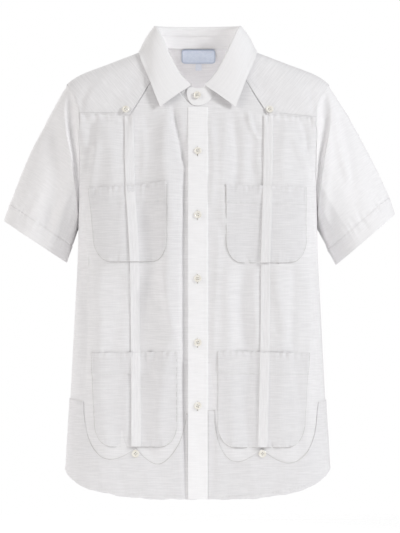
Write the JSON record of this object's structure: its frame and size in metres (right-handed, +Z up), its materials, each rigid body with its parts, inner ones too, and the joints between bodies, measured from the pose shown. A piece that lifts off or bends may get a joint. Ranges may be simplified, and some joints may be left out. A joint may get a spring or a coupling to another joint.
{
  "type": "guayabera shirt",
  "caption": "Short-sleeved white guayabera shirt, buttoned and filled out as when worn, with a fold-over collar, patch pockets, stitched pleats, pointed yoke tabs and scalloped hem bands.",
  "frame": {"origin": "centre of the neck at the height where the shoulder lines meet the collar, midway between the front and back of the side seams", "axes": "+Z up along the wearer's spine, -Y out of the buttoned front, +X toward the wearer's left sleeve"},
  "size_m": [0.668, 0.2241, 0.8055],
  "materials": {
    "cloth": "matte slubbed plain weave",
    "button": "satin cream",
    "label": "satin woven"
  },
  "bodies": {
    "root": {"back": "cloth", "front_left": "cloth", "front_right": "cloth", "yoke": "cloth", "placket": "cloth", "hem_band_left": "cloth", "hem_band_right": "cloth", "pleat_left": "cloth", "pleat_right": "cloth", "chest_pocket_left": "cloth", "chest_pocket_right": "cloth", "chest_pocket_pleat_left": "cloth", "chest_pocket_pleat_right": "cloth", "lower_pocket_left": "cloth", "lower_pocket_right": "cloth", "lower_pocket_pleat_left": "cloth", "lower_pocket_pleat_right": "cloth", "sleeve_left": "cloth", "sleeve_right": "cloth", "sleeve_hem_left": "cloth", "sleeve_hem_right": "cloth", "collar_stand": "cloth", "collar_leaf": "cloth", "button_collar": "button", "button_placket_1": "button", "button_placket_2": "button", "button_placket_3": "button", "button_placket_4": "button", "button_placket_5": "button", "button_yoke_left": "button", "button_yoke_right": "button", "button_hem_left": "button", "button_hem_right": "button", "neck_label": "label", "size_tab": "label"}
  },
  "joints": []
}
